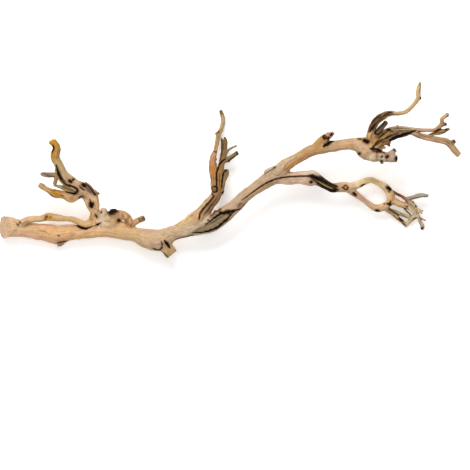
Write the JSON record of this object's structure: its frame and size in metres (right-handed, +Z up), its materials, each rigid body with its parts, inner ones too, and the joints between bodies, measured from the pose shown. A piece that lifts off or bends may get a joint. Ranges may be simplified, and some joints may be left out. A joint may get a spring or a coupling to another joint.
{
  "type": "grapevine branch",
  "caption": "Sandblasted grapevine branch lying on its side: a sawn trunk with gnarled side branches, an open loop and crooked twigs, for a perch or a display.",
  "frame": {"origin": "centre of the box round the branch, on the surface that it lies on", "axes": "+X along the branch from the sawn butt to the far twigs, +Y towards the side branches, +Z up"},
  "size_m": [0.5525, 0.2105, 0.0972],
  "materials": {
    "blasted_wood": "matte, blasted",
    "grey_wood": "matte, weathered",
    "bark_wood": "matte, rough"
  },
  "bodies": {
    "root": {"trunk": "blasted_wood", "side_branch": "blasted_wood", "left_branch": "grey_wood", "middle_branch": "grey_wood", "lower_limb": "blasted_wood", "upper_limb": "blasted_wood", "arc_branch": "bark_wood", "tip_branch": "bark_wood", "loop_ring": "blasted_wood", "twig_cluster": "grey_wood"}
  },
  "joints": []
}
